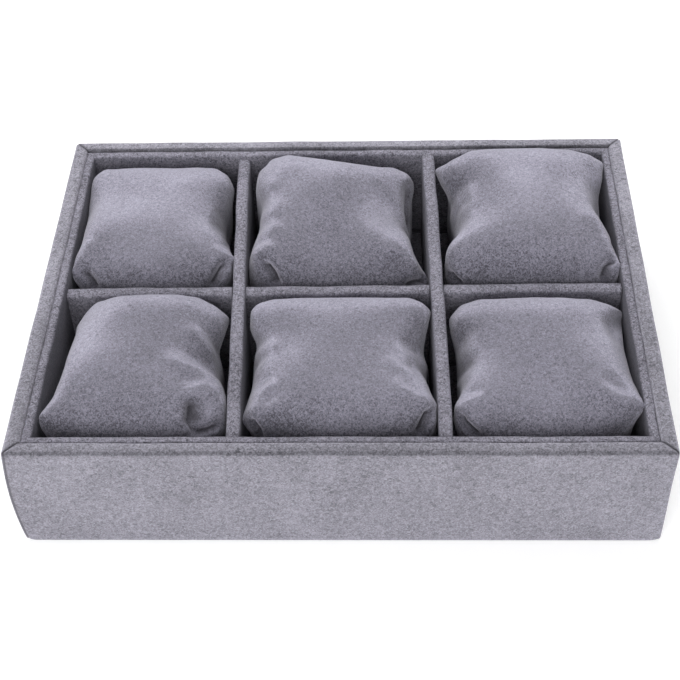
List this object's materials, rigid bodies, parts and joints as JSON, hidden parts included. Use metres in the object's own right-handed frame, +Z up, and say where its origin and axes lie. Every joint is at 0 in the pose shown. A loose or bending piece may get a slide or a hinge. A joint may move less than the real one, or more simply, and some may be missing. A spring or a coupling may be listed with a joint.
{
  "type": "jewelry tray",
  "caption": "Low velvet-wrapped display tray with half-lapped dividers that make cells, each with a loose stuffed velvet pillow for a watch or bracelet.",
  "frame": {"origin": "centre of the underside, on the surface that the tray stands on", "axes": "+X along the long side to the right, +Y to the back, +Z up"},
  "size_m": [0.25, 0.186, 0.0634],
  "materials": {
    "wrap_velvet": "short-pile grey-lilac velvet with a mottled nap",
    "lining_velvet": "the same short-pile velvet, on the lining strips, floor and dividers",
    "pillow_velvet": "softer brushed velvet, fine nap",
    "filling": "loose white polyester fibre",
    "board": "plain fibreboard, unseen",
    "card": "grey lining card, unseen",
    "felt": "thin dark pressed felt"
  },
  "bodies": {
    "tray": {"bottom_felt": "felt", "base_board": "board", "outer_wrap_velvet": "wrap_velvet", "floor_velvet": "lining_velvet", "front_wall_board": "board", "front_liner_card": "card", "front_liner_velvet": "lining_velvet", "right_wall_board": "board", "right_liner_card": "card", "right_liner_velvet": "lining_velvet", "back_wall_board": "board", "back_liner_card": "card", "back_liner_velvet": "lining_velvet", "left_wall_board": "board", "left_liner_card": "card", "left_liner_velvet": "lining_velvet", "left_divider_board": "board", "left_divider_velvet": "lining_velvet", "right_divider_board": "board", "right_divider_velvet": "lining_velvet", "cross_divider_board": "board", "cross_divider_velvet": "lining_velvet"},
    "back_left_pillow": {"back_left_pillow_cover": "pillow_velvet", "back_left_pillow_filling": "filling"},
    "back_middle_pillow": {"back_middle_pillow_cover": "pillow_velvet", "back_middle_pillow_filling": "filling"},
    "back_right_pillow": {"back_right_pillow_cover": "pillow_velvet", "back_right_pillow_filling": "filling"},
    "front_left_pillow": {"front_left_pillow_cover": "pillow_velvet", "front_left_pillow_filling": "filling"},
    "front_middle_pillow": {"front_middle_pillow_cover": "pillow_velvet", "front_middle_pillow_filling": "filling"},
    "front_right_pillow": {"front_right_pillow_cover": "pillow_velvet", "front_right_pillow_filling": "filling"}
  },
  "joints": [
    {"name": "back_left_lift", "type": "slide", "parent": "tray", "child": "back_left_pillow", "axis": [0, 0, 1], "range_m": [0, 0.065]},
    {"name": "back_middle_lift", "type": "slide", "parent": "tray", "child": "back_middle_pillow", "axis": [0, 0, 1], "range_m": [0, 0.065]},
    {"name": "back_right_lift", "type": "slide", "parent": "tray", "child": "back_right_pillow", "axis": [0, 0, 1], "range_m": [0, 0.065]},
    {"name": "front_left_lift", "type": "slide", "parent": "tray", "child": "front_left_pillow", "axis": [0, 0, 1], "range_m": [0, 0.065]},
    {"name": "front_middle_lift", "type": "slide", "parent": "tray", "child": "front_middle_pillow", "axis": [0, 0, 1], "range_m": [0, 0.065]},
    {"name": "front_right_lift", "type": "slide", "parent": "tray", "child": "front_right_pillow", "axis": [0, 0, 1], "range_m": [0, 0.065]}
  ]
}
